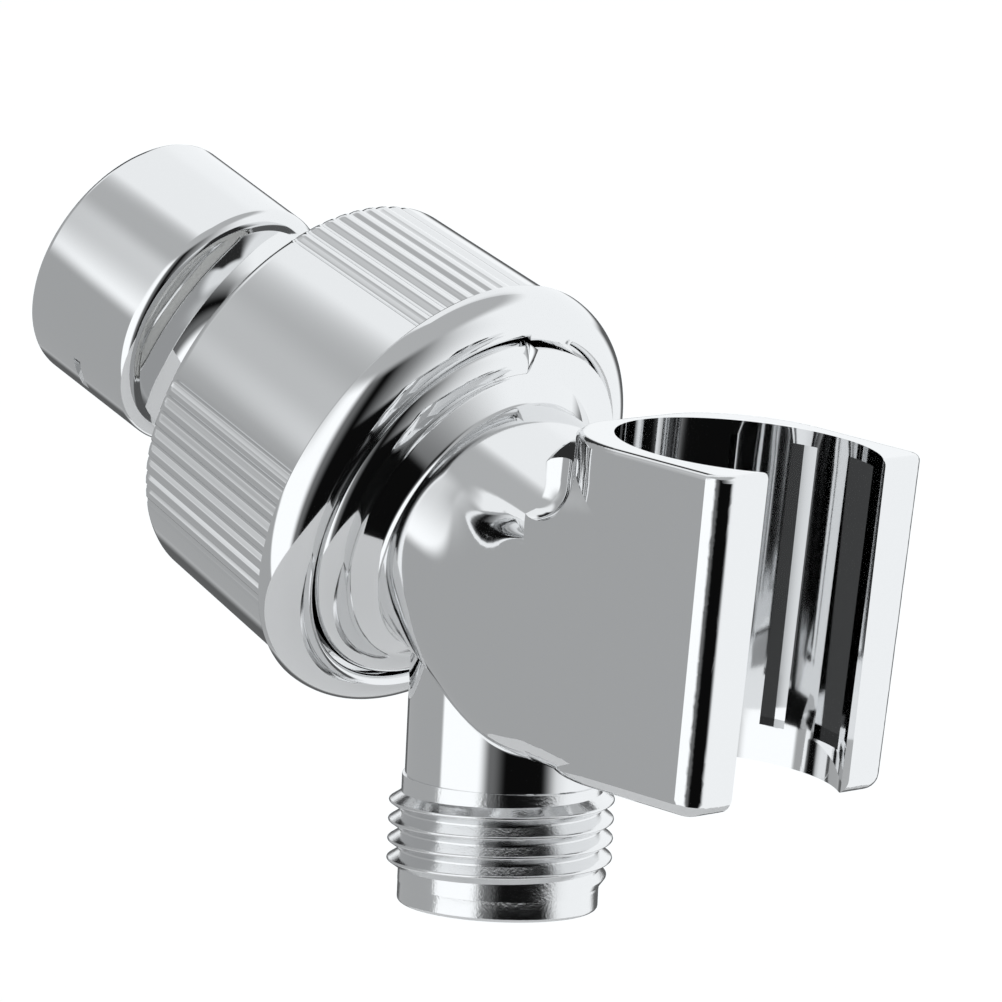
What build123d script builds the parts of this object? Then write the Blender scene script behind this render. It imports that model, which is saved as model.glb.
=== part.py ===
from build123d import *
from math import asin, cos, degrees, pi, radians, sin, sqrt, tan
import os

# Hand shower holder for the end of a shower arm, in millimetres and degrees.
# The origin is the centre of the inlet's mouth, X points from the arm to the user,
# Z is up, and the outlet points straight down.

# Stance: the swivel axis falls towards the cradle
body_slope = 23.0

# Inlet collar, neck and ball
collar_radius = 12.6
collar_length = 14.2
collar_edge = 0.5
inlet_thread_radius = 10.48
inlet_thread_depth = 8.9
inlet_lead_in = 0.4
flare_radius = 10.9
flare_length = 4.8
neck_radius = 7.2
ball_radius = 11.5
ball_centre = 34.6
ball_bore_radius = 4.0

# Spanner notch in the collar
notch_distance = 6.9
notch_angle = -130.0
notch_width = 0.9
notch_depth = 0.5
notch_cutter_radius = 6.0

# Washer and filter in their pocket below the inlet's thread
washer_pocket_depth = 2.5
washer_pocket_clearance = 0.1
washer_thickness = 2.0
washer_radius = 9.6
washer_hole_radius = 6.4
screen_radius = 8.4
screen_thickness = 0.3
screen_hole_radius = 0.55
screen_hole_pitch = 2.1

# Pivot nut
nut_back = 25.65
nut_back_radius = 20.2
nut_back_edge = 0.9
nut_back_opening = 12.1
nut_step = 43.95
nut_step_radius = 21.1
bead_offset = 0.15
bead_width = 3.0
bead_length = 3.6
bead_circle_radius = 18.8
lip_radius = 0.7
opening_depth = 1.9
nut_panels = 4
grooves_per_group = 9
groove_pitch = 4.8
group_angle = -11.0
groove_width = 1.15
groove_depth = 0.5
groove_floor = 0.35
groove_overrun = 0.4

# Ball seats
ring_wall = 3.0
ring_clearance = 0.1
ring_back = 8.5
ring_front = 2.0
ring_split = 1.5
cavity_clearance = 0.1
cavity_length = 2.9
seat_outer_radius = 10.3
seat_start = 6.6
seat_length = 3.3
seat_clearance = 0.08
seal_section = 1.9
seal_circle_radius = 8.1
seal_gap = 0.05

# Holder head, shoulder and neck
head_radius = 17.0
head_thread_clearance = 0.1
head_start_gap = 3.2
head_chamfer = 0.5
cup_radius = 12.0
shoulder_radius = 17.7
shoulder_length = 0.6
shoulder_lip_radius = 14.8
shoulder_gap = 0.25
shoulder_rise = 2.1
neck_fillet = 2.6
holder_neck_radius = 12.7
neck_start = 50.9
water_radius = 4.5

# Outlet
outlet_distance = 54.6
outlet_length = 33.1
outlet_stub_radius = 9.06
outlet_thread_radius = 10.45
outlet_thread_start = 21.4
outlet_thread_end = 31.1
outlet_thread_chamfer = 0.9
outlet_pilot_radius = 9.28
outlet_edge = 0.4
outlet_bore_radius = 6.0
outlet_bore_rise = 3.0

# Cradle: its own axis leans forward at the top. Its frame starts at the bore's
# centre on the top face, and is placed from the outlet's crossing with the swivel axis
cradle_lean = 4.4
cradle_centre = 27.2
cradle_rise = 13.0
cradle_height = 31.0
cradle_reach = 9.2
cradle_back = 13.4
cradle_wall_top = 2.3
cradle_wall_bottom = 2.0
cradle_corner = 10.0
tip_corner = 2.0
top_edge = 0.6
bottom_edge = 1.6
bore_top_radius = 12.1
bore_bottom_radius = 11.7
mouth_half_width = 8.2

# Grip recesses in the cradle's bore: direction and width of each, from the mouth back
recess_directions = (70.0, 104.0, 142.0)
recess_widths = (4.4, 2.5, 3.3)
recess_depth = 1.2
recess_ledge = 3.4
recess_lip = 1.4

# Web between the neck and the cradle, as sections at three reaches from the outlet axis.
# The neck's circle is split where the web's corners start and end
neck_splits = [-22, 22, 82, 98, 158, 202, 240, 300]
web_middle = 4.0
web_middle_half_width = 13.2
web_middle_top = 12.1
web_middle_bottom = -14.9
web_middle_top_corner = 11.5
web_middle_bottom_corner = 5.0
web_back = 13.8
web_back_top = 12.6
web_back_bottom = -16.7
web_back_top_corner = 7.5
web_back_bottom_corner = 3.5
web_end = 24.5
web_end_top = 12.2
web_end_top_corner = 6.0
web_end_bottom_corner = 2.0
web_inset = 0.04

# Scoops between the web and the cradle's back corners, each with a round bottom
scoop_radius = 3.3
scoop_back = 11.9
scoop_depth = 4.9

# Directions and reference points worked out from the driving sizes
slope_cos = cos(radians(body_slope))
slope_sin = sin(radians(body_slope))
swivel_direction = Vector(slope_cos, 0, -slope_sin)
swivel_up = Vector(slope_sin, 0, slope_cos)
swivel_axis = Axis((0, 0, 0), swivel_direction)
turning_plane = Plane(origin=(0, 0, 0), x_dir=swivel_up, z_dir=(0, 1, 0))
outlet_x = outlet_distance * slope_cos
outlet_z = -outlet_distance * slope_sin


def plane_across(distance):
    """A plane square to the swivel axis, this far from the inlet's mouth."""
    return Plane(origin=swivel_direction * distance, x_dir=(0, 1, 0), z_dir=swivel_direction)


def sphere_radius_at(radius, distance):
    """The radius of a sphere's circle at this distance from its centre."""
    return sqrt(radius**2 - distance**2)


# Inlet ball: socket for the arm, neck and ball, turned from one bar
flare_drop = flare_radius - neck_radius
flare_curve = (flare_drop**2 + flare_length**2) / (2 * flare_drop)
flare_end = collar_length + flare_length
flare_turn = asin(flare_length / flare_curve) / 2
flare_middle = (
    neck_radius + flare_curve * (1 - cos(flare_turn)),
    flare_end - flare_curve * sin(flare_turn),
)
inlet_depth = inlet_thread_depth + washer_pocket_depth
washer_pocket_radius = washer_radius + washer_pocket_clearance
ball_neck_distance = sphere_radius_at(ball_radius, neck_radius)
ball_nose_distance = sphere_radius_at(ball_radius, ball_bore_radius)

with BuildPart() as inlet_ball:
    with BuildSketch(turning_plane):
        with BuildLine():
            Polyline(
                (ball_bore_radius, ball_centre + ball_nose_distance),
                (ball_bore_radius, inlet_depth),
                (washer_pocket_radius, inlet_depth),
                (washer_pocket_radius, inlet_thread_depth),
                (inlet_thread_radius, inlet_thread_depth),
                (inlet_thread_radius, inlet_lead_in),
                (inlet_thread_radius + inlet_lead_in, 0),
                (collar_radius - collar_edge, 0),
                (collar_radius, collar_edge),
                (collar_radius, collar_length - collar_edge),
                (collar_radius - collar_edge, collar_length),
                (flare_radius, collar_length),
            )
            ThreePointArc((flare_radius, collar_length), flare_middle, (neck_radius, flare_end))
            Line((neck_radius, flare_end), (neck_radius, ball_centre - ball_neck_distance))
            ThreePointArc(
                (neck_radius, ball_centre - ball_neck_distance),
                (ball_radius, ball_centre),
                (ball_bore_radius, ball_centre + ball_nose_distance),
            )
        make_face()
    revolve(axis=swivel_axis)
    notch_offset = collar_radius - notch_depth + notch_cutter_radius
    with BuildSketch(plane_across(notch_distance - notch_width / 2)):
        with Locations(
            (
                notch_offset * sin(radians(notch_angle)),
                notch_offset * cos(radians(notch_angle)),
            )
        ):
            Circle(notch_cutter_radius)
    extrude(amount=notch_width, mode=Mode.SUBTRACT)
inlet_ball.part.label = "inlet_ball"

# Inlet washer on the pocket's floor
with BuildPart() as inlet_washer:
    with BuildSketch(plane_across(inlet_depth - washer_thickness)):
        Circle(washer_radius)
        Circle(washer_hole_radius, mode=Mode.SUBTRACT)
    extrude(amount=washer_thickness)
inlet_washer.part.label = "inlet_washer"

# Filter screen on the washer's upstream face
screen_rows = int(washer_hole_radius / screen_hole_pitch)
with BuildPart() as filter_screen:
    with BuildSketch(plane_across(inlet_depth - washer_thickness - screen_thickness)):
        Circle(screen_radius)
        with HexLocations(screen_hole_pitch / 2, 2 * screen_rows + 1, 2 * screen_rows + 1):
            Circle(screen_hole_radius, mode=Mode.SUBTRACT)
    extrude(amount=screen_thickness)
filter_screen.part.label = "filter_screen"

# Split ring behind the ball, round inside and out
ring_inner = ball_radius + ring_clearance
ring_outer = ring_inner + ring_wall
with BuildPart() as split_ring:
    with BuildSketch(turning_plane):
        with BuildLine():
            ThreePointArc(
                (sphere_radius_at(ring_inner, ring_back), ball_centre - ring_back),
                (
                    sphere_radius_at(ring_inner, (ring_back + ring_front) / 2),
                    ball_centre - (ring_back + ring_front) / 2,
                ),
                (sphere_radius_at(ring_inner, ring_front), ball_centre - ring_front),
            )
            Line(
                (sphere_radius_at(ring_inner, ring_front), ball_centre - ring_front),
                (sphere_radius_at(ring_outer, ring_front), ball_centre - ring_front),
            )
            ThreePointArc(
                (sphere_radius_at(ring_outer, ring_front), ball_centre - ring_front),
                (
                    sphere_radius_at(ring_outer, (ring_back + ring_front) / 2),
                    ball_centre - (ring_back + ring_front) / 2,
                ),
                (sphere_radius_at(ring_outer, ring_back), ball_centre - ring_back),
            )
            Line(
                (sphere_radius_at(ring_outer, ring_back), ball_centre - ring_back),
                (sphere_radius_at(ring_inner, ring_back), ball_centre - ring_back),
            )
        make_face()
    revolve(axis=swivel_axis)
    with BuildSketch(plane_across(ball_centre - ring_back)):
        with Locations((0, -ring_outer / 2)):
            Rectangle(ring_split, ring_outer)
    extrude(amount=ring_back, mode=Mode.SUBTRACT)
split_ring.part.label = "split_ring"

# Ball seat in front of the ball
seat_inner = ball_radius + seat_clearance
seat_end = seat_start + seat_length
with BuildPart() as ball_seat:
    with BuildSketch(turning_plane):
        with BuildLine():
            ThreePointArc(
                (sphere_radius_at(seat_inner, seat_start), ball_centre + seat_start),
                (
                    sphere_radius_at(seat_inner, (seat_start + seat_end) / 2),
                    ball_centre + (seat_start + seat_end) / 2,
                ),
                (sphere_radius_at(seat_inner, seat_end), ball_centre + seat_end),
            )
            Polyline(
                (sphere_radius_at(seat_inner, seat_end), ball_centre + seat_end),
                (seat_outer_radius, ball_centre + seat_end),
                (seat_outer_radius, ball_centre + seat_start),
                (sphere_radius_at(seat_inner, seat_start), ball_centre + seat_start),
            )
        make_face()
    revolve(axis=swivel_axis)
ball_seat.part.label = "ball_seat"

# Rubber seal that presses the seat against the ball
seal_centre = ball_centre + seat_end + seal_gap + seal_section / 2
with BuildPart() as seat_seal:
    with BuildSketch(turning_plane):
        with Locations((seal_circle_radius, seal_centre)):
            Circle(seal_section / 2)
    revolve(axis=swivel_axis)
seat_seal.part.label = "seat_seal"

# Pivot nut: turned blank with a bead at the front, then grooves in groups
cavity_radius = ring_outer + cavity_clearance
cavity_bore = cavity_radius + cavity_clearance
nut_thread_bore = head_radius + head_thread_clearance
bead_centre = nut_step + bead_offset
bead_rise = asin(bead_offset / bead_length)
bead_start_radius = bead_circle_radius + bead_width * cos(bead_rise)
nut_front = bead_centre + bead_length
opening_radius = bead_circle_radius - lip_radius
lip_centre = nut_front - lip_radius
cavity_opening_distance = sphere_radius_at(cavity_radius, nut_back_opening)

# One groove follows the nut's taper and runs a little way into the bead
nut_taper = (nut_step_radius - nut_back_radius) / (nut_step - nut_back - nut_back_edge)
with BuildPart() as groove_cutter:
    for distance in (nut_back - groove_overrun, nut_step + groove_overrun):
        skin = nut_step_radius - nut_taper * (nut_step - distance)
        with BuildSketch(plane_across(distance)):
            Polygon(
                (-groove_width / 2, skin + groove_overrun),
                (groove_width / 2, skin + groove_overrun),
                (groove_floor / 2, skin - groove_depth),
                (-groove_floor / 2, skin - groove_depth),
                align=None,
            )
    loft()

group_span = (grooves_per_group - 1) * groove_pitch
groove_turns = [
    group_angle + 360 / nut_panels * group - group_span / 2 + groove_pitch * groove
    for group in range(nut_panels)
    for groove in range(grooves_per_group)
]

with BuildPart() as pivot_nut:
    with BuildSketch(turning_plane):
        with BuildLine():
            Polyline(
                (nut_back_opening, ball_centre - cavity_opening_distance),
                (nut_back_opening, nut_back),
                (nut_back_radius - nut_back_edge, nut_back),
            )
            RadiusArc(
                (nut_back_radius - nut_back_edge, nut_back),
                (nut_back_radius, nut_back + nut_back_edge),
                nut_back_edge,
            )
            Polyline(
                (nut_back_radius, nut_back + nut_back_edge),
                (nut_step_radius, nut_step),
                (bead_start_radius, nut_step),
            )
            EllipticalCenterArc(
                (bead_circle_radius, bead_centre),
                bead_width,
                bead_length,
                -degrees(bead_rise),
                arc_size=90 + degrees(bead_rise),
            )
            ThreePointArc(
                (bead_circle_radius, nut_front),
                (
                    bead_circle_radius - lip_radius * sin(pi / 4),
                    lip_centre + lip_radius * cos(pi / 4),
                ),
                (opening_radius, lip_centre),
            )
            Polyline(
                (opening_radius, lip_centre),
                (opening_radius, nut_front - opening_depth),
                (nut_thread_bore, nut_front - opening_depth),
                (nut_thread_bore, ball_centre + cavity_length),
                (cavity_bore, ball_centre + cavity_length),
                (cavity_bore, ball_centre),
                (cavity_radius, ball_centre),
            )
            ThreePointArc(
                (cavity_radius, ball_centre),
                (
                    sphere_radius_at(cavity_radius, cavity_opening_distance / 2),
                    ball_centre - cavity_opening_distance / 2,
                ),
                (nut_back_opening, ball_centre - cavity_opening_distance),
            )
        make_face()
    revolve(axis=swivel_axis)
    add([groove_cutter.part.rotate(swivel_axis, -turn) for turn in groove_turns], mode=Mode.SUBTRACT)
pivot_nut.part.label = "pivot_nut"

# Holder body: reference points of the head, cradle, web and outlet
head_start = ball_centre + head_start_gap
shoulder_start = nut_front - opening_depth + shoulder_gap
shoulder_end = shoulder_start + shoulder_length
shoulder_curve = shoulder_radius - shoulder_lip_radius
lip_end = shoulder_end + shoulder_rise
seat_floor = ball_centre + seat_end + 2 * seal_gap + seal_section
seal_pocket_radius = seal_circle_radius + seal_section / 2 + seal_gap
seat_pocket_radius = seat_outer_radius + seat_clearance
cradle_up = Vector(sin(radians(cradle_lean)), 0, cos(radians(cradle_lean)))
cradle_forward = Vector(cos(radians(cradle_lean)), 0, -sin(radians(cradle_lean)))
cradle_origin = Vector(outlet_x + cradle_centre, 0, outlet_z + cradle_rise)
cradle_top_plane = Plane(origin=cradle_origin, x_dir=cradle_forward, z_dir=cradle_up)
cradle_axis = Axis(cradle_origin, cradle_up)
cradle_half_width_top = bore_top_radius + cradle_wall_top
cradle_half_width_bottom = bore_bottom_radius + cradle_wall_bottom
outlet_plane = Plane(origin=(outlet_x, 0, outlet_z), x_dir=(1, 0, 0), z_dir=(0, -1, 0))
outlet_axis = Axis((outlet_x, 0, 0), (0, 0, 1))
recess_height = cradle_height - recess_lip - recess_ledge
draft = (cradle_half_width_top - cradle_half_width_bottom) / cradle_height

# Where the web's last section meets the cradle's sides and bottom
web_end_forward = web_end - cradle_centre
web_end_bottom = (
    cradle_rise
    - cradle_height / cos(radians(cradle_lean))
    - web_end_forward * tan(radians(cradle_lean))
)


def side_half_width(reach, height):
    """The cradle's half width at a point given from the outlet's crossing."""
    offset = Vector(reach - cradle_centre, 0, height - cradle_rise)
    return cradle_half_width_top + draft * offset.dot(cradle_up)


def web_section(top, top_half_width, top_corner, bottom, bottom_half_width, bottom_corner):
    """The outline of the web where it crosses a plane, with rounded corners."""
    with BuildSketch() as section:
        Polygon(
            (-bottom_half_width, bottom),
            (bottom_half_width, bottom),
            (top_half_width, top),
            (-top_half_width, top),
            align=None,
        )
        fillet(section.vertices().group_by(Axis.Y)[0], bottom_corner)
        fillet(section.vertices().group_by(Axis.Y)[-1], top_corner)
    return section.sketch


def upright_plane(reach):
    """An upright plane facing the user, this far in front of the outlet axis."""
    return Plane(origin=(outlet_x + reach, 0, outlet_z), x_dir=(0, 1, 0), z_dir=(1, 0, 0))


def cradle_outline(half_width):
    """The cradle seen along its axis, before the bore and mouth are cut."""
    with BuildSketch() as outline:
        with Locations(((cradle_reach - cradle_back) / 2, 0)):
            Rectangle(cradle_reach + cradle_back, 2 * half_width)
        fillet(outline.vertices().group_by(Axis.X)[0], cradle_corner)
        fillet(outline.vertices().group_by(Axis.X)[-1], tip_corner)
    return outline.sketch


# Cradle block: a drafted prism along the cradle's axis
with BuildPart() as cradle_block:
    with BuildSketch(cradle_top_plane.offset(-cradle_height)):
        add(cradle_outline(cradle_half_width_bottom))
    with BuildSketch(cradle_top_plane):
        add(cradle_outline(cradle_half_width_top))
    loft()
    fillet(cradle_block.faces().sort_by(cradle_axis)[-1].edges(), top_edge)
    fillet(cradle_block.faces().sort_by(cradle_axis)[0].edges(), bottom_edge)

web_back_section = web_section(
    web_back_top,
    side_half_width(web_back, web_back_top) - web_inset,
    web_back_top_corner,
    web_back_bottom,
    side_half_width(web_back, web_back_bottom) - web_inset,
    web_back_bottom_corner,
)

# Holder body: head, shoulder and neck are turned about the swivel axis
with BuildPart() as holder_body:
    with BuildSketch(turning_plane):
        with BuildLine():
            Polyline(
                (0, head_start),
                (head_radius - head_chamfer, head_start),
                (head_radius, head_start + head_chamfer),
                (head_radius, shoulder_start),
                (shoulder_radius, shoulder_start),
                (shoulder_radius, shoulder_end),
            )
            ThreePointArc(
                (shoulder_radius, shoulder_end),
                (
                    shoulder_lip_radius + shoulder_curve * cos(pi / 4),
                    shoulder_end + shoulder_rise * sin(pi / 4),
                ),
                (shoulder_lip_radius, lip_end),
            )
            RadiusArc(
                (shoulder_lip_radius, lip_end),
                (holder_neck_radius, neck_start),
                -neck_fillet,
            )
            Polyline(
                (holder_neck_radius, neck_start),
                (0, outlet_distance),
                (0, head_start),
            )
        make_face()
    revolve(axis=swivel_axis)

    # Web from the neck to the cradle
    with BuildSketch(plane_across(neck_start)):
        with BuildLine():
            for start, end in zip(neck_splits, neck_splits[1:] + neck_splits[:1]):
                CenterArc((0, 0), holder_neck_radius, start, (end - start) % 360)
        make_face()
    with BuildSketch(upright_plane(web_middle)):
        add(
            web_section(
                web_middle_top,
                web_middle_half_width,
                web_middle_top_corner,
                web_middle_bottom,
                web_middle_half_width,
                web_middle_bottom_corner,
            )
        )
    with BuildSketch(upright_plane(web_back)):
        add(web_back_section)
    loft()
    with BuildSketch(upright_plane(web_back)):
        add(web_back_section)
    with BuildSketch(upright_plane(web_end)):
        add(
            web_section(
                web_end_top,
                side_half_width(web_end, web_end_top) - web_inset,
                web_end_top_corner,
                web_end_bottom + web_inset,
                side_half_width(web_end, web_end_bottom) - web_inset,
                web_end_bottom_corner,
            )
        )
    loft()
    add(cradle_block.part)

    # Scoops, cut down beside the cradle's back corners
    with BuildSketch(cradle_top_plane.offset(-scoop_depth)):
        with Locations((-scoop_back, cradle_half_width_top), (-scoop_back, -cradle_half_width_top)):
            Circle(scoop_radius)
    extrude(amount=2 * scoop_depth, mode=Mode.SUBTRACT)
    with Locations(
        cradle_top_plane.from_local_coords((-scoop_back, cradle_half_width_top, -scoop_depth)),
        cradle_top_plane.from_local_coords((-scoop_back, -cradle_half_width_top, -scoop_depth)),
    ):
        Sphere(scoop_radius, mode=Mode.SUBTRACT)

    # Outlet stub with its thread's blank and the plain pilot below it
    with BuildSketch(outlet_plane):
        Polygon(
            (0, 0),
            (outlet_stub_radius, 0),
            (outlet_stub_radius, -outlet_thread_start),
            (outlet_thread_radius - outlet_thread_chamfer, -outlet_thread_start),
            (outlet_thread_radius, -outlet_thread_start - outlet_thread_chamfer),
            (outlet_thread_radius, -outlet_thread_end + outlet_thread_chamfer),
            (outlet_thread_radius - outlet_thread_chamfer, -outlet_thread_end),
            (outlet_pilot_radius, -outlet_thread_end),
            (outlet_pilot_radius, -outlet_length + outlet_edge),
            (outlet_pilot_radius - outlet_edge, -outlet_length),
            (0, -outlet_length),
            align=None,
        )
    revolve(axis=outlet_axis)

    # Cradle's bore, a slight cone, and its mouth
    with BuildSketch(cradle_top_plane.offset(-cradle_height - bottom_edge)):
        Circle(bore_bottom_radius)
    with BuildSketch(cradle_top_plane.offset(bottom_edge)):
        Circle(bore_top_radius)
    loft(mode=Mode.SUBTRACT)
    with BuildSketch(cradle_top_plane.offset(-cradle_height - bottom_edge)):
        with Locations((cradle_reach, 0)):
            Rectangle(2 * cradle_reach, 2 * mouth_half_width)
    extrude(amount=cradle_height + 2 * bottom_edge, mode=Mode.SUBTRACT)

    # Grip recesses, closed at the bottom by a ledge and at the top by a lip
    with BuildSketch(cradle_top_plane.offset(recess_ledge - cradle_height)):
        for direction, width in zip(recess_directions, recess_widths):
            for side in (direction, -direction):
                wall_x = bore_top_radius * cos(radians(side))
                wall_y = bore_top_radius * sin(radians(side))
                with Locations(Location((wall_x, wall_y), side)):
                    Rectangle(2 * recess_depth, width)
    extrude(amount=recess_height, mode=Mode.SUBTRACT)

    # Pockets for the ball, its seat and the seal, then the waterway
    with BuildSketch(turning_plane):
        Polygon(
            (0, head_start),
            (cup_radius, head_start),
            (cup_radius, ball_centre + seat_start - seal_gap),
            (seat_pocket_radius, ball_centre + seat_start - seal_gap),
            (seat_pocket_radius, ball_centre + seat_end + seal_gap),
            (seal_pocket_radius, ball_centre + seat_end + seal_gap),
            (seal_pocket_radius, seat_floor),
            (water_radius, seat_floor),
            (water_radius, outlet_distance),
            (0, outlet_distance),
            align=None,
        )
    revolve(axis=swivel_axis, mode=Mode.SUBTRACT)
    with BuildSketch(Plane.XY.offset(outlet_z - outlet_length)):
        with Locations((outlet_x, 0)):
            Circle(outlet_bore_radius)
    extrude(amount=outlet_length + outlet_bore_rise, mode=Mode.SUBTRACT)
holder_body.part.label = "holder_body"

os.makedirs("parts", exist_ok=True)
export_step(inlet_ball.part, "parts/inlet_ball.step")
export_step(inlet_washer.part, "parts/inlet_washer.step")
export_step(filter_screen.part, "parts/filter_screen.step")
export_step(split_ring.part, "parts/split_ring.step")
export_step(ball_seat.part, "parts/ball_seat.step")
export_step(seat_seal.part, "parts/seat_seal.step")
export_step(pivot_nut.part, "parts/pivot_nut.step")
export_step(holder_body.part, "parts/holder_body.step")
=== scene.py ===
# %% [markdown]
# A hand shower holder screws onto the arm of a wall shower and carries the hand shower in a
# cradle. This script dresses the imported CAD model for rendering. The model is the fixed frame:
# it holds the sizes, the joints and the moving bodies, and nothing in it is changed. Where its
# shape is too plain for a close look, a new piece is made here, which rides on the same body
# and stands for the CAD node. Everything is in the frame of the CAD: the origin is the centre
# of the inlet's mouth, X points from the arm to the user, and the outlet points straight down.

# %% Load the frame
from math import atan2, cos, degrees, hypot, pi, radians, sin

import bmesh
import bpy
from mathutils import Matrix, Vector
from mathutils.bvhtree import BVHTree


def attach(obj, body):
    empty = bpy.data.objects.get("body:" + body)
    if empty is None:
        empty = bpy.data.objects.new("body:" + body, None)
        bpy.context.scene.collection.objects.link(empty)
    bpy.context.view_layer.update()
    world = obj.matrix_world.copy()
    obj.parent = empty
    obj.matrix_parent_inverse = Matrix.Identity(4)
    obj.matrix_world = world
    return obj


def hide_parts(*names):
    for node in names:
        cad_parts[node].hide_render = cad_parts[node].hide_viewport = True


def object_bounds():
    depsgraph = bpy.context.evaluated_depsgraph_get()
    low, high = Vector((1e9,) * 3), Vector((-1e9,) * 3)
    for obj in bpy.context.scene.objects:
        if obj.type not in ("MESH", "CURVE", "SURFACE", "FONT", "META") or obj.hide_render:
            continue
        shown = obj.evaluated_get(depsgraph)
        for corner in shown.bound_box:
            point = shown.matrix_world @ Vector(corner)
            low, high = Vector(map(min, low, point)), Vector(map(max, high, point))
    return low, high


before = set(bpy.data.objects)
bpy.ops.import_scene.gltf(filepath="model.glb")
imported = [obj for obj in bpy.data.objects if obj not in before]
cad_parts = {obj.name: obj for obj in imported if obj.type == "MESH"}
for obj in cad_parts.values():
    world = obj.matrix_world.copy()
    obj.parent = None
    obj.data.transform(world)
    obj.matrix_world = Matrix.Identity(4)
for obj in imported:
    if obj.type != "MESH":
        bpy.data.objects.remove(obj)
cad_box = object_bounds()
print("CAD box", [tuple(round(x, 4) for x in corner) for corner in cad_box])

# %% [markdown]
# The swivel axis falls 23 degrees from the arm to the cradle, and the outlet's axis crosses it.
# Most of the object was turned on a lathe. Its pieces could be drawn with tilted coordinates,
# but a drawing is easier to read when its Z axis is the piece's own axis and its unit is the
# millimetre. So each turned piece is drawn that way, and one matrix turns, places and scales it.

# %% Directions and frames
mm = 0.001
slope = radians(23)
crossing_distance = 54.6
swivel = Vector((cos(slope), 0, -sin(slope)))
swivel_up = Vector((sin(slope), 0, cos(slope)))
crossing = swivel * crossing_distance * mm


def frame_of(origin, x_axis, z_axis):
    """The matrix that places a drawing in millimetres, with its Z axis along z_axis."""
    axes = Matrix((x_axis, z_axis.cross(x_axis), z_axis)).transposed()
    return Matrix.Translation(origin) @ (axes * mm).to_4x4()


swivel_frame = frame_of(Vector(), swivel_up, swivel)
outlet_frame = frame_of(crossing, Vector((1, 0, 0)), Vector((0, 0, 1)))
reach_frame = frame_of(crossing, Vector((0, 0, 1)), Vector((1, 0, 0)))
print("outlet axis at X", round(crossing.x / mm, 3), "mm")

# %% [markdown]
# The camera stands where the photographer's stood. It could be placed by eye, but a circle that
# is seen at a slant gives its own direction, so it was fitted to the rims of the nut, the neck
# and the thread. It is given by its direction, its roll, its distance, and the pixel at which
# one point of the outlet lies. The lens then follows from the scale at that point.

# %% Camera
scene = bpy.context.scene
scene.view_settings.view_transform = "Standard"
photo_size = 1002
azimuth = radians(41.293)
elevation = radians(8.205)
roll = radians(-2.737)
distance = 0.7
pixels_per_mm = 10.845
known_drop = 27.57
known_point = crossing - Vector((0, 0, known_drop * mm))
known_pixel = (499.724, 844.208)

back = Vector((sin(azimuth) * cos(elevation), -cos(azimuth) * cos(elevation), sin(elevation)))
level_right = Vector((cos(azimuth), sin(azimuth), 0))
level_up = back.cross(level_right)
right = level_right * cos(roll) - level_up * sin(roll)
up = level_up * cos(roll) + level_right * sin(roll)
across = (known_pixel[0] - photo_size / 2) / pixels_per_mm * mm
down = (known_pixel[1] - photo_size / 2) / pixels_per_mm * mm

camera_data = bpy.data.cameras.new("camera")
camera_data.lens = pixels_per_mm * distance / mm * camera_data.sensor_width / photo_size
camera = bpy.data.objects.new("camera", camera_data)
position = known_point + back * distance - right * across + up * down
turned_to_object = Matrix((right, up, back)).transposed().to_4x4()
camera.matrix_world = Matrix.Translation(position) @ turned_to_object
scene.collection.objects.link(camera)
scene.camera = camera
print("lens", round(camera_data.lens, 2), "mm")

# %% [markdown]
# The studio and the materials are made of shader nodes. Each sum or product is a node of its
# own, with links in and out, which is slow to read when it is written out. This small class
# wraps a node's socket, so that Python's own signs add the Math nodes.

# %% Shader expressions
class Value:
    """A socket that takes part in sums and products."""

    def __init__(self, tree, socket=None):
        self.tree = tree
        self.socket = socket

    def make(self, kind, settings=None, **inputs):
        """Adds a node. An input is named, or given by its number as _0, _1 and so on."""
        node = self.tree.nodes.new(kind)
        for name, setting in (settings or {}).items():
            setattr(node, name, setting)
        for name, given in inputs.items():
            key = int(name[1:]) if name[1:].isdigit() else name.replace("_", " ")
            if isinstance(given, Value):
                self.tree.links.new(given.socket, node.inputs[key])
            else:
                node.inputs[key].default_value = given
        return node

    def out(self, kind, output, settings=None, **inputs):
        """Adds a node and returns one of its outputs, wrapped."""
        return Value(self.tree, self.make(kind, settings, **inputs).outputs[output])

    def into(self, socket):
        """Links this value to a socket of a shader."""
        self.tree.links.new(self.socket, socket)

    def math(self, operation, first, second=0.0):
        """Adds a Math node."""
        return self.out("ShaderNodeMath", 0, {"operation": operation}, _0=first, _1=second)

    def __add__(self, other):
        return self.math("ADD", self, other)

    __radd__ = __add__

    def __sub__(self, other):
        return self.math("SUBTRACT", self, other)

    def __rsub__(self, other):
        return self.math("SUBTRACT", other, self)

    def __mul__(self, other):
        return self.math("MULTIPLY", self, other)

    __rmul__ = __mul__

    def smooth(self, start, end):
        """0 at start, 1 at end, and an even S between."""
        settings = {"interpolation_type": "SMOOTHSTEP"}
        return self.out("ShaderNodeMapRange", 0, settings, Value=self, From_Min=start, From_Max=end)

    def between(self, low, high, soft):
        """1 between low and high, 0 outside, with soft edges."""
        return self.smooth(low - soft, low + soft) * self.smooth(high + soft, high - soft)

    def blend(self, first, second):
        """first where this value is 0, second where it is 1."""
        return first + self * (second - first)


# %% [markdown]
# Polished chrome has almost no colour of its own and shows the room. A photographer stands soft
# panels and dark cards round it, and they become its long bright and dark bands. Lamps and
# planes could do the same here, but they cast shadows and show in other views. So the panels
# are painted on the world by direction, and each edge can be put where the photograph has it.
# Directions are in degrees: turn is 0 towards -Y and 90 towards +X, and height is above level.

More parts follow.
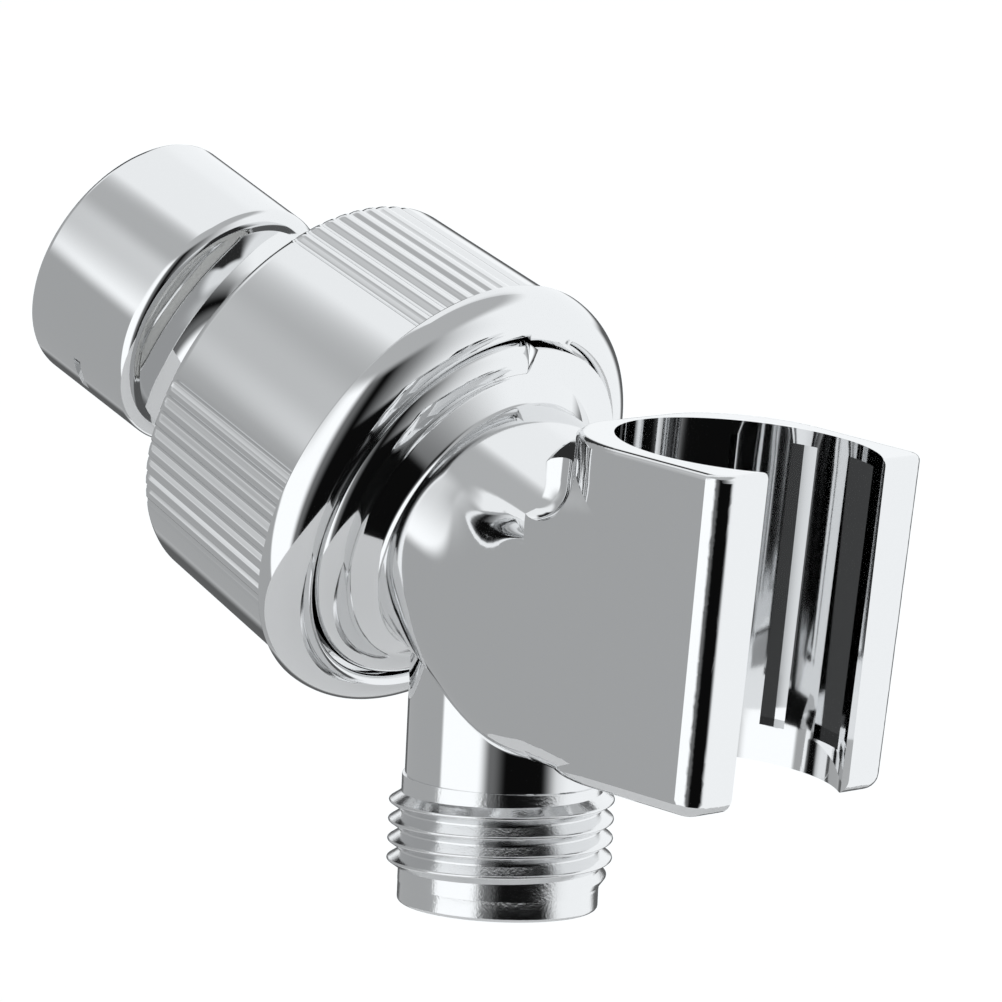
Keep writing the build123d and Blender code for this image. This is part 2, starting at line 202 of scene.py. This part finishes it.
# %% World: where the panels are
world = bpy.data.worlds.new("studio")
scene.world = world
world.use_nodes = True
studio = Value(world.node_tree)
direction = studio.out("ShaderNodeTexCoord", "Generated")
x, y, z = (studio.out("ShaderNodeSeparateXYZ", i, _0=direction) for i in range(3))
turn = studio.math("ARCTAN2", x, 0.0 - y) * (180 / pi)
height = studio.math("ARCSINE", z) * (180 / pi)

grey_wall = turn.between(-112, -37, 2.5)
panel_edge = height.smooth(4, 34).blend(turn.smooth(-39.5, -34.5), turn.smooth(-64, 2))
bright_panel = panel_edge * turn.smooth(26, 10)
card_end = height.smooth(4, -16).blend(55, 105)
dark_card = (turn - 41).smooth(-14, 4) * (card_end - turn).smooth(-14, 9)
far_dark = turn.between(-174, -112, 8) * height.smooth(9, 3) * height.smooth(-44, -30)
back_card = turn.between(-134, -98, 5) * height.between(17, 58, 4)
right_wall = studio.math("ABSOLUTE", turn).smooth(60, 130)
ceiling, ground = height.smooth(40, 54), height.smooth(-46, -60)
ceiling_level = turn.between(-180, -50, 15).blend(0.5, 1.0)

# %% [markdown]
# Each panel is laid over the ones before it, as a painter would, at a brightness where 1 is
# white. Light Path tells a camera's ray from a reflected one, so the camera sees a plain white
# background and only the chrome sees the studio. The light is a touch blue, as daylight is.

# %% World: how bright they are
level = right_wall.blend(0.16, 1.05)
panels = [
    (far_dark, 0.12),
    (grey_wall, 0.42),
    (bright_panel, 1.2),
    (dark_card, 0.004),
    (ceiling, ceiling_level),
    (ground, 0.55),
    (back_card, 0.03),
]
for panel, brightness in panels:
    level = panel.blend(level, brightness)
shown_white = 1.04
level = studio.out("ShaderNodeLightPath", "Is Camera Ray").blend(level, shown_white)
red, green = level * 0.965, level * 0.985
tint = studio.out("ShaderNodeCombineColor", 0, None, _0=red, _1=green, _2=level)
tint.into(world.node_tree.nodes["Background"].inputs["Color"])
print("world nodes", len(world.node_tree.nodes))

# %% [markdown]
# All the metal that shows is chrome plate, over turned brass or over a casting. One recipe
# serves for it: fully metallic and nearly smooth, with a fine noise that changes the roughness
# a little, because plating is never even. Castings are polished by hand and get a faint wave
# as well, and threads stay dull and gritty. Painted images could hold this, but noise on
# Object coordinates needs no unwrapping, has no seam and stays in place when a body moves.

# %% Materials
wave_scale, grit_scale = 55.0, 4200.0


def finish(name, color, metallic, roughness, spread, grain, wobble=0.0, grit=0.0):
    """A material with a slightly uneven roughness and, if asked, a wavy or gritty surface."""
    material = bpy.data.materials.new(name)
    material.use_nodes = True
    shader = material.node_tree.nodes["Principled BSDF"]
    start = Value(material.node_tree)
    place = start.out("ShaderNodeTexCoord", "Object")

    def noise(scale, detail):
        return start.out("ShaderNodeTexNoise", 0, None, Vector=place, Scale=scale, Detail=detail)

    shader.inputs["Base Color"].default_value = (*color, 1)
    shader.inputs["Metallic"].default_value = metallic
    rough = noise(grain, 3.0) * (2 * spread) + (roughness - spread)
    rough.into(shader.inputs["Roughness"])
    relief = noise(wave_scale, 1.0) * wobble
    if grit:
        relief = relief + noise(grit_scale, 2.0) * grit
    if wobble or grit:
        bump = start.out("ShaderNodeBump", 0, None, Height=relief, Distance=1.0, Strength=1.0)
        bump.into(shader.inputs["Normal"])
    return material


chrome_color = (0.83, 0.835, 0.84)
turned_chrome = finish("turned_chrome", chrome_color, 1, 0.045, 0.015, 300)
cast_chrome = finish("cast_chrome", chrome_color, 1, 0.05, 0.015, 300, wobble=0.000003)
thread_chrome = finish("thread_chrome", chrome_color, 1, 0.13, 0.04, 900, grit=0.000012)
rubber = finish("rubber", (0.05, 0.05, 0.052), 0, 0.6, 0.1, 500, grit=0.000006)
steel = finish("steel", (0.6, 0.6, 0.61), 1, 0.3, 0.06, 700)
plastic = finish("plastic", (0.72, 0.72, 0.7), 0, 0.42, 0.06, 500, grit=0.000004)

# %% [markdown]
# Washer, screen, split ring, seat and seal are plain rings and discs on the real object too,
# so their CAD shapes stay and only get a material. The inlet, the nut and the holder get one
# as well, which is what their cut copies start from, though pieces made below stand for them.

# %% Materials of the CAD nodes
node_materials = {
    "inlet_ball": turned_chrome,
    "inlet_washer": rubber,
    "filter_screen": steel,
    "split_ring": plastic,
    "ball_seat": plastic,
    "seat_seal": rubber,
    "pivot_nut": turned_chrome,
    "holder_body": cast_chrome,
}
for name, material in node_materials.items():
    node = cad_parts[name]
    node.data.materials.clear()
    node.data.materials.append(material)
print("materials", len(bpy.data.materials))

# %% [markdown]
# A lathe leaves the same outline all round, which Blender's spin does in one call: an outline
# of radius and distance is spun about its frame's Z axis. A Screw modifier could do it too, but
# here the corners can then be rounded one ring at a time, each with a setback and a number of
# segments of its own, as on a maker's drawing.

# %% Turned pieces
same_place = 1e-4


def ring_edges(bm, radius, distance):
    """The edges of the circle with this radius, at this distance along the axis."""
    found = []
    for edge in bm.edges:
        if all(
            abs(hypot(v.co.x, v.co.y) - radius) < same_place
            and abs(v.co.z - distance) < same_place
            for v in edge.verts
        ):
            found.append(edge)
    return found


def rounded(bm, edges, setback, segments):
    """Rounds off edges of a drawing."""
    bmesh.ops.bevel(
        bm,
        geom=edges,
        offset=setback,
        segments=segments,
        profile=0.5,
        affect="EDGES",
        material=-1,
    )


def turned(corners, steps):
    """A closed solid of revolution. A corner is radius, distance, and maybe setback, segments."""
    bm = bmesh.new()
    verts = [bm.verts.new((corner[0], 0, corner[1])) for corner in corners]
    for pair in zip(verts, verts[1:] + verts[:1]):
        bm.edges.new(pair)
    outline = bm.verts[:] + bm.edges[:]
    bmesh.ops.spin(
        bm, geom=outline, cent=(0, 0, 0), axis=(0, 0, 1), angle=2 * pi, steps=steps, use_merge=True
    )
    for radius, distance, *rounding in corners:
        if rounding:
            rounded(bm, ring_edges(bm, radius, distance), *rounding)
    bmesh.ops.recalc_face_normals(bm, faces=bm.faces[:])
    return bm


# %% [markdown]
# Some shapes of the CAD are right as they are, but are only wanted as far as the place where a
# piece made here takes over. A boolean could trim them. A plane's cut is quicker and exact:
# the copy is merged, cut square and closed. Its smooth normals are kept as an attribute of the
# corners, because merging and cutting would lose them.

# %% Cut pieces
def cut_copy(node_name, place, keep_above, two_circles=False):
    """A merged copy of a CAD node, cut square to a frame's Z axis and closed."""
    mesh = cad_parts[node_name].data.copy()
    kept = mesh.attributes.new("kept_normal", "FLOAT_VECTOR", "CORNER")
    for normal, value in zip(mesh.corner_normals, kept.data):
        value.vector = normal.vector
    bm = bmesh.new()
    bm.from_mesh(mesh)
    bmesh.ops.remove_doubles(bm, verts=bm.verts[:], dist=1e-6)
    cut = bmesh.ops.bisect_plane(
        bm,
        geom=bm.verts[:] + bm.edges[:] + bm.faces[:],
        plane_co=place @ Vector((0, 0, keep_above)),
        plane_no=place.col[2].xyz.normalized(),
        clear_inner=True,
        dist=1e-8,
    )
    rim = [part for part in cut["geom_cut"] if isinstance(part, bmesh.types.BMEdge)]
    rim = [edge for edge in rim if edge.is_boundary]
    if two_circles:
        bmesh.ops.bridge_loops(bm, edges=rim)
    else:
        bmesh.ops.holes_fill(bm, edges=rim)
    return bm


# %% [markdown]
# A finished piece may hold several drawings, as the outlet holds a stub, a root and a ridge.
# They are placed, joined in one mesh and given to a body. Chrome shows every fault of shading,
# and the long faces beside a rounding would bend it. A Weighted Normal modifier lets the large
# faces set the direction, so they look flat, and true corners are marked sharp.

# %% Placing a piece
def show(name, parts, body, nodes, angle=34):
    """Makes one piece of several drawings, each with its frame and material, and places it."""
    mesh = bpy.data.meshes.new(name)
    whole = bmesh.new()
    for index, (bm, place, material) in enumerate(parts):
        bmesh.ops.transform(bm, matrix=place, verts=bm.verts[:])
        for face in bm.faces:
            face.material_index = index
            face.smooth = True
        bm.to_mesh(mesh)
        bm.free()
        whole.from_mesh(mesh)
        mesh.materials.append(material)
    whole.to_mesh(mesh)
    whole.free()
    piece = bpy.data.objects.new(name, mesh)
    scene.collection.objects.link(piece)
    if "kept_normal" in mesh.attributes:
        normals = [value.vector for value in mesh.attributes["kept_normal"].data]
        mesh.normals_split_custom_set(normals)
    else:
        mesh.set_sharp_from_angle(angle=radians(angle))
        weighted = piece.modifiers.new("weighted", "WEIGHTED_NORMAL")
        weighted.keep_sharp = True
    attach(piece, body)
    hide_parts(*nodes)
    print(name, "faces", len(mesh.polygons))
    return piece


# %% [markdown]
# The pivot nut screws onto the holder's head and clamps the ball. It is turned from brass, with
# a rolled bead round its front. The bead is fuller than a plain quarter circle, so the part of
# it that stands forward is stretched a little.

# %% Pivot nut: the turned shape
nut_steps = 600
back_face = 25.65
skin_back, skin_front = (20.2, 26.55), (21.1, 43.95)
bead_radius, bead_front = 21.8, 47.1
rim_radius = 18.1
bead_from, bead_stretch = 44.1, 1.2

nut = turned(
    [
        (12.1, 26.25),
        (12.1, back_face, 0.3, 3),
        (skin_back[0], back_face, 0.9, 6),
        skin_front,
        (21.45, skin_front[1]),
        (bead_radius, skin_front[1], 0.12, 3),
        (bead_radius, bead_front, 3.0, 24),
        (rim_radius, bead_front, 0.68, 8),
        (rim_radius, 45.517),
        (17.1, 45.8),
        (17.1, 37.5),
        (14.8, 37.5),
        (14.8, 34.6),
        (14.7, 30.02, 4.5, 10),
    ],
    nut_steps,
)
for vert in nut.verts:
    if hypot(vert.co.x, vert.co.y) > rim_radius - 0.05 and vert.co.z > bead_from:
        vert.co.z = bead_from + (vert.co.z - bead_from) * bead_stretch
print("nut drawing", len(nut.faces), "faces")

# %% [markdown]
# A wet hand turns the nut by its grooves, four groups of nine, pressed into the skin. Each runs
# out over the back edge and a little way under the bead. Booleans could cut them, but 36 of
# them are slow and leave ragged edges. The nut has 600 steps round it instead, so the rings of
# its skin can be pushed in along a cosine, and the grooves come out round. A turn of 0.2
# degrees first puts one of the steps at the middle of each groove.

# %% Pivot nut: the grooves
groove_pitch, grooves, groups = 4.8, 9, 4
group_turn = 11.0
groove_half_turn = 1.95
groove_depth = 0.5
groove_overrun = 0.4
skin_taper = (skin_front[0] - skin_back[0]) / (skin_front[1] - skin_back[1])
skin_inside, skin_outside, bead_foot = 19, 21.2, 21.5
front_gap = 0.01
aligned = Matrix.Rotation(radians(0.2), 3, "Z")


def groove_at(angle):
    """How deep the grooves are here, from 0 to 1. Angles are in degrees."""
    group_centre = round((angle - group_turn) * groups / 360) * 360 / groups + group_turn
    offset = (angle - group_centre) / groove_pitch
    groove = max(-(grooves // 2), min(grooves // 2, round(offset)))
    aside = abs(offset - groove) * groove_pitch / groove_half_turn
    return (1 + cos(pi * aside)) / 2 if aside < 1 else 0.0


bmesh.ops.rotate(nut, verts=nut.verts[:], cent=(0, 0, 0), matrix=aligned)
for vert in nut.verts:
    radius = hypot(vert.co.x, vert.co.y)
    if radius < skin_inside or vert.co.z > skin_front[1] + front_gap:
        continue
    depth = groove_at(degrees(atan2(vert.co.y, vert.co.x)))
    floor = skin_front[0] - skin_taper * (skin_front[1] - vert.co.z) - groove_depth * depth
    if vert.co.z > skin_front[1] - front_gap and radius < bead_foot:
        vert.co.z += groove_overrun * depth
    if floor < radius < skin_outside:
        vert.co.x *= floor / radius
        vert.co.y *= floor / radius
show("nut", [(nut, swivel_frame, turned_chrome)], "nut", ["pivot_nut"], angle=55)

# %% [markdown]
# A pipe thread is a ridge that winds along a cylinder. A Screw modifier could wind it, but
# spin also takes a step along the axis, so one call winds a small triangle into the ridge. Its
# crest is rounded with a bevel. Both of its ends sink into the root over a part of a turn, as
# where the cutting tool enters the metal and leaves it.

# %% Threads
pipe_pitch = 1.814
thread_steps = 96
thread_sink = 0.05
crest_rounding, crest_segments = 0.3, 4


def wound_ridge(root, crest, width, start, turns, taper):
    """A ridge with a rounded crest, wound along Z and run out into the root at both ends."""
    bm = bmesh.new()
    inward = -1 if crest < root else 1
    sunk = root - inward * thread_sink
    outline = [(sunk, -width / 2), (crest, 0), (sunk, width / 2)]
    verts = [bm.verts.new((radius, 0, start + aside)) for radius, aside in outline]
    face = bm.faces.new(verts)
    bmesh.ops.spin(
        bm,
        geom=[face],
        cent=(0, 0, 0),
        axis=(0, 0, 1),
        dvec=(0, 0, pipe_pitch / thread_steps),
        angle=2 * pi * turns,
        steps=int(thread_steps * turns),
    )
    bmesh.ops.remove_doubles(bm, verts=bm.verts[:], dist=1e-5)
    crests = [
        edge
        for edge in bm.edges
        if all(abs(hypot(v.co.x, v.co.y) - crest) < 1e-3 for v in edge.verts)
    ]
    rounded(bm, crests, crest_rounding, crest_segments)
    for vert in bm.verts:
        radius = hypot(vert.co.x, vert.co.y)
        part_turn = atan2(vert.co.y, vert.co.x) / (2 * pi)
        wound = part_turn + round((vert.co.z - start) / pipe_pitch - part_turn)
        fade = max(0.0, min(1.0, wound / taper, (turns - wound) / taper))
        wanted = sunk + (radius - sunk) * fade
        vert.co.x *= wanted / radius
        vert.co.y *= wanted / radius
    bmesh.ops.recalc_face_normals(bm, faces=bm.faces[:])
    return bm


# %% [markdown]
# The inlet is the socket that screws onto the arm: a collar with a rounded front edge, a bore
# with the arm's thread, and a flare that narrows to the ball's neck. It is turned in one
# drawing. A round cutter left a narrow notch in the collar's side. Two pairs of rings are
# drawn close together there, and the ones between them are moved in to the cutter's arc.

# %% Inlet
collar_radius, collar_front = 12.6, 14.2
thread_root, waterway_radius = 10.48, 4.0
ball_neck_radius, socket_end = 7.2, 25.61
notch_start, notch_end, notch_wall = 6.45, 7.35, 0.02
notch_turn = 130
cutter_radius, cutter_distance = 6.0, 18.1
bore_outside, ring_gap = 12, 0.001
socket = turned(
    [
        (waterway_radius, socket_end),
        (waterway_radius, 11.4),
        (9.7, 11.4),
        (9.7, 8.9),
        (thread_root, 8.9),
        (thread_root, 0.4, 0.2, 2),
        (10.88, 0),
        (collar_radius, 0, 0.6, 5),
        (collar_radius, notch_start - notch_wall),
        (collar_radius, notch_start),
        (collar_radius, notch_end),
        (collar_radius, notch_end + notch_wall),
        (collar_radius, collar_front, 1.3, 12),
        (10.9, collar_front),
        (ball_neck_radius, 15.177, 3.8, 16),
        (ball_neck_radius, socket_end),
    ],
    360,
)
for vert in socket.verts:
    aside = radians(degrees(atan2(vert.co.y, vert.co.x)) - notch_turn)
    inside = cutter_radius**2 - (cutter_distance * sin(aside)) ** 2
    in_notch = notch_start - ring_gap < vert.co.z < notch_end + ring_gap
    on_collar = hypot(vert.co.x, vert.co.y) > bore_outside
    if in_notch and on_collar and inside > 0 and cos(aside) > 0:
        cut = cutter_distance * cos(aside) - inside**0.5
        if cut < collar_radius:
            vert.co.x *= cut / collar_radius
            vert.co.y *= cut / collar_radius
inlet_ridge = wound_ridge(thread_root, 9.5, width=1.5, start=0.9, turns=4, taper=0.2)
show(
    "inlet",
    [(socket, swivel_frame, turned_chrome), (inlet_ridge, swivel_frame, turned_chrome)],
    "inlet",
    ["inlet_ball"],
)

# %% [markdown]
# The ball on the inlet's neck is what the holder tilts and turns on. It sits deep in the nut
# and only shows when the holder is tilted. The CAD's ball is round enough for that, so it is
# copied from where the socket's drawing ends. The cut leaves two circles, the neck and its
# bore, and the ring between them is bridged.

# %% Ball
show(
    "ball",
    [(cut_copy("inlet_ball", swivel_frame, 25.6, two_circles=True), Matrix(), turned_chrome)],
    "inlet",
    ["inlet_ball"],
)

# %% [markdown]
# The holder is one casting. The nut screws onto its head, and in front of that come a rounded
# shoulder and the neck, all machined on a lathe, so they are turned here too. A bevel rounds
# the shoulder with a quarter circle. The real one is wider than it is deep, so the rings of
# that rounding are then drawn in towards the axis.

# %% Neck
neck_radius, neck_end, neck_waterway = 13.1, 50.9, 4.5
shoulder_radius, shoulder_front = 17.7, 48.75
shoulder_inner, shoulder_from, shoulder_width = 15.5, 46.6, 1.35
neck = turned(
    [
        (12.0, 37.8),
        (17.0, 37.8, 0.5, 2),
        (17.0, 46.05),
        (shoulder_radius, 46.05),
        (shoulder_radius, shoulder_front, 2.09, 16),
        (14.9, shoulder_front, 0.3, 4),
        (neck_radius, 50.45, 0.25, 3),
        (neck_radius, neck_end),
        (neck_waterway, neck_end),
        (neck_waterway, 46.5),
        (9.1, 46.5),
        (9.1, 44.55),
        (10.38, 44.55),
        (10.38, 41.15),
        (12.0, 41.15),
    ],
    360,
)
for vert in neck.verts:
    radius = hypot(vert.co.x, vert.co.y)
    if radius > shoulder_inner and vert.co.z > shoulder_from:
        drawn_in = (shoulder_radius - (shoulder_radius - radius) * shoulder_width) / radius
        vert.co.x *= drawn_in
        vert.co.y *= drawn_in
print("neck drawing", len(neck.faces), "faces")

# %% [markdown]
# From the round neck the casting runs on to the flat sides of the cradle in one smooth skin,
# the web. It could be sculpted or lofted through a few sections, but chrome shows every dent
# of that as a kink. So each vertex of the neck's last ring gets a line of its own. It starts
# along the neck and ends on the CAD's own skin, in the plane where the cradle's piece begins.

# %% Lines from the neck to the cradle
web_cut = 13.4
cradle_reach, cradle_rise = 27.2, 13.0
pocket_radius = 20.0
lean = radians(4.4)
cradle_up = Vector((sin(lean), 0, cos(lean)))
cradle_origin = crossing + Vector((cradle_reach, 0, cradle_rise)) * mm
to_swivel = swivel_frame.inverted()

holder_mesh = bmesh.new()
holder_mesh.from_mesh(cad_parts["holder_body"].data)
holder_skin = BVHTree.FromBMesh(holder_mesh)
holder_mesh.free()


def skin_point(start, reach):
    """Where the CAD's skin crosses an upright plane, on the line of the neck through start."""
    plane_x = crossing.x + reach * mm
    along = start + swivel * (plane_x - start.x) / swivel.x
    axis_point = swivel * plane_x / swivel.x
    return holder_skin.ray_cast(axis_point, (along - axis_point).normalized())[0]


def from_cradle(point):
    """The distance from the cradle's axis, in millimetres."""
    return (point - cradle_origin).cross(cradle_up).length / mm


def rim_share(start, straight):
    """How far along a line of the neck the pocket's rim lies, from 0 to 1."""
    low, high = 0.0, 1.0
    for _ in range(30):
        middle = (low + high) / 2
        if from_cradle(start.lerp(straight, middle)) > pocket_radius:
            low = middle
        else:
            high = middle
    return low


def ease(value):
    """An even S from 0 to 1."""
    value = max(0.0, min(1.0, value))
    return value * value * (3 - 2 * value)


# %% [markdown]
# The ring is extruded once for each row, and each new row is moved along the lines. Beside and
# below the neck a line leaves it straight and rises evenly to the cradle's section. Near the
# top the lines run straight on, lower than the CAD's web, and that leaves the pocket beside the
# cradle open as on the real casting. Between 30 and 42 degrees up the side one way blends into
# the other. The rows lie closer together from the pocket's rim on.

# %% Web
neck_rows, pocket_rows = 12, 32
pocket_from, pocket_fade = 30, 12
arriving_aside = 0.4

lids = [
    face
    for face in neck.faces
    if all(abs(v.co.z - neck_end) < same_place for v in face.verts)
]
bmesh.ops.delete(neck, geom=lids, context="FACES_ONLY")
bmesh.ops.holes_fill(neck, edges=ring_edges(neck, neck_waterway, neck_end))
rim = ring_edges(neck, neck_radius, neck_end)
track = neck.verts.layers.int.new("track")
lines = []
for vert in {v for edge in rim for v in edge.verts}:
    start = swivel_frame @ vert.co
    end = skin_point(start, web_cut)
    straight = start + swivel * (end.x - start.x) / swivel.x
    raised = degrees(atan2(vert.co.x, abs(vert.co.y)))
    share = rim_share(start, straight)
    pocket = ease((raised - pocket_from) / pocket_fade)
    arrival = Vector((end.x - start.x, (end.y - start.y) * arriving_aside, 0))
    vert[track] = len(lines)
    lines.append((start, straight, end, arrival, share, pocket))
for row in range(1, neck_rows + pocket_rows + 1):
    made = bmesh.ops.extrude_edge_only(neck, edges=rim)["geom"]
    rim = [part for part in made if isinstance(part, bmesh.types.BMEdge) and part.is_boundary]
    for vert in {v for edge in rim for v in edge.verts}:
        start, straight, end, arrival, share, pocket = lines[vert[track]]
        past_rim = (row - neck_rows) / pocket_rows
        t = share * row / neck_rows if row <= neck_rows else share + (1 - share) * past_rim
        rise = ease(t) * (1 - pocket)
        vert.co = to_swivel @ start.lerp(straight, t).lerp(end - arrival * (1 - t), rise)
bmesh.ops.holes_fill(neck, edges=rim)
bmesh.ops.recalc_face_normals(neck, faces=neck.faces[:])
show("neck", [(neck, swivel_frame, cast_chrome)], "holder", ["holder_body"])

# %% [markdown]
# The cradle takes the tapered handle of the hand shower. It is a block with a drafted bore, a
# mouth and two grip recesses. It could be built again here, but its flats, its draft and its
# roundings are true in the CAD already, so it is copied from where the web meets it.

# %% Cradle
show(
    "cradle",
    [(cut_copy("holder_body", reach_frame, web_cut), Matrix(), cast_chrome)],
    "holder",
    ["holder_body"],
)

# %% [markdown]
# The hose screws onto the outlet. Its stub is smooth, and below it come the root of the thread
# and a plain pilot that leads the hose's nut on. One drawing could hold them all, but the
# thread has a duller chrome, because nothing polishes the bottoms of its grooves. So the stub,
# the root and the ridge are three drawings, each with its material, joined in one piece.

# %% Outlet
outlet_bore, stub_radius, root_radius, crest_radius = 6.0, 9.06, 9.3, 10.55
outlet_top, outlet_bottom = -21.2, -33.1
stub_top, stub_bottom = -4.0, outlet_top - 0.05
stub = turned(
    [
        (outlet_bore, stub_top),
        (stub_radius, stub_top),
        (stub_radius, stub_bottom),
        (outlet_bore, stub_bottom),
    ],
    240,
)
outlet = turned(
    [
        (outlet_bore, outlet_top),
        (root_radius, outlet_top, 0.1, 2),
        (root_radius, -31.15),
        (9.28, -31.2),
        (9.28, outlet_bottom, 0.35, 4),
        (outlet_bore, outlet_bottom, 0.3, 3),
    ],
    240,
)
ridge = wound_ridge(root_radius, crest_radius, width=1.72, start=-30.3, turns=4.6, taper=0.2)
show(
    "outlet",
    [
        (stub, outlet_frame, turned_chrome),
        (outlet, outlet_frame, thread_chrome),
        (ridge, outlet_frame, thread_chrome),
    ],
    "holder",
    ["holder_body"],
)

# %% [markdown]
# A pale floor lies well below the object, as a table under a held part would, and keeps its
# shadow. A floor as bright as the background would need more light, and that would bleach the
# object. So the floor glows a little for the camera's rays alone, and ends in white.

# %% Floor
floor_drop, floor_radius, floor_x = 0.07, 0.12, 0.045
floor_glow = 0.6
floor_material = bpy.data.materials.new("floor")
floor_material.use_nodes = True
floor_shader = floor_material.node_tree.nodes["Principled BSDF"]
pale = Value(floor_material.node_tree)
patches = pale.out("ShaderNodeTexNoise", 0, None, Scale=20.0, Detail=2.0)
glow = pale.out("ShaderNodeLightPath", "Is Camera Ray") * floor_glow
glow_color = pale.out("ShaderNodeCombineColor", 0, None, _0=glow, _1=glow, _2=glow)
floor_shader.inputs["Base Color"].default_value = (0.9, 0.9, 0.9, 1)
floor_shader.inputs["Emission Strength"].default_value = 1.0
(patches * 0.1 + 0.8).into(floor_shader.inputs["Roughness"])
glow_color.into(floor_shader.inputs["Emission Color"])

floor_z = cad_box[0][2] - floor_drop
floor_bm = bmesh.new()
bmesh.ops.create_circle(floor_bm, cap_ends=True, segments=96, radius=floor_radius)
bmesh.ops.translate(floor_bm, verts=floor_bm.verts[:], vec=(floor_x, 0, floor_z))
floor_mesh = bpy.data.meshes.new("floor")
floor_bm.to_mesh(floor_mesh)
floor_bm.free()
floor_mesh.materials.append(floor_material)
floor_disc = bpy.data.objects.new("floor", floor_mesh)
scene.collection.objects.link(floor_disc)
print("floor at Z", round(floor_z, 4))

# %% [markdown]
# The painted panels light the object too, but softly and from all sides. One large round lamp
# stands where the bright panel is, high on the left of the camera, and gives the shadow its
# direction. It is hidden from reflections, or its white disc would show in the chrome.

# %% Lamp
lamp_turn, lamp_height = radians(-10), radians(38)
lamp_distance = 0.9
lamp_data = bpy.data.lights.new("soft_lamp", "AREA")
lamp_data.shape = "DISK"
lamp_data.size = 0.5
lamp_data.energy = 1.1
lamp = bpy.data.objects.new("soft_lamp", lamp_data)
lamp.visible_glossy = False
level_part = cos(lamp_height)
aim = Vector((sin(lamp_turn) * level_part, -cos(lamp_turn) * level_part, sin(lamp_height)))
facing = aim.to_track_quat("Z", "Y").to_matrix().to_4x4()
lamp.matrix_world = Matrix.Translation(crossing + aim * lamp_distance) @ facing
scene.collection.objects.link(lamp)
print("lamp", round(lamp_data.energy, 2), "W")
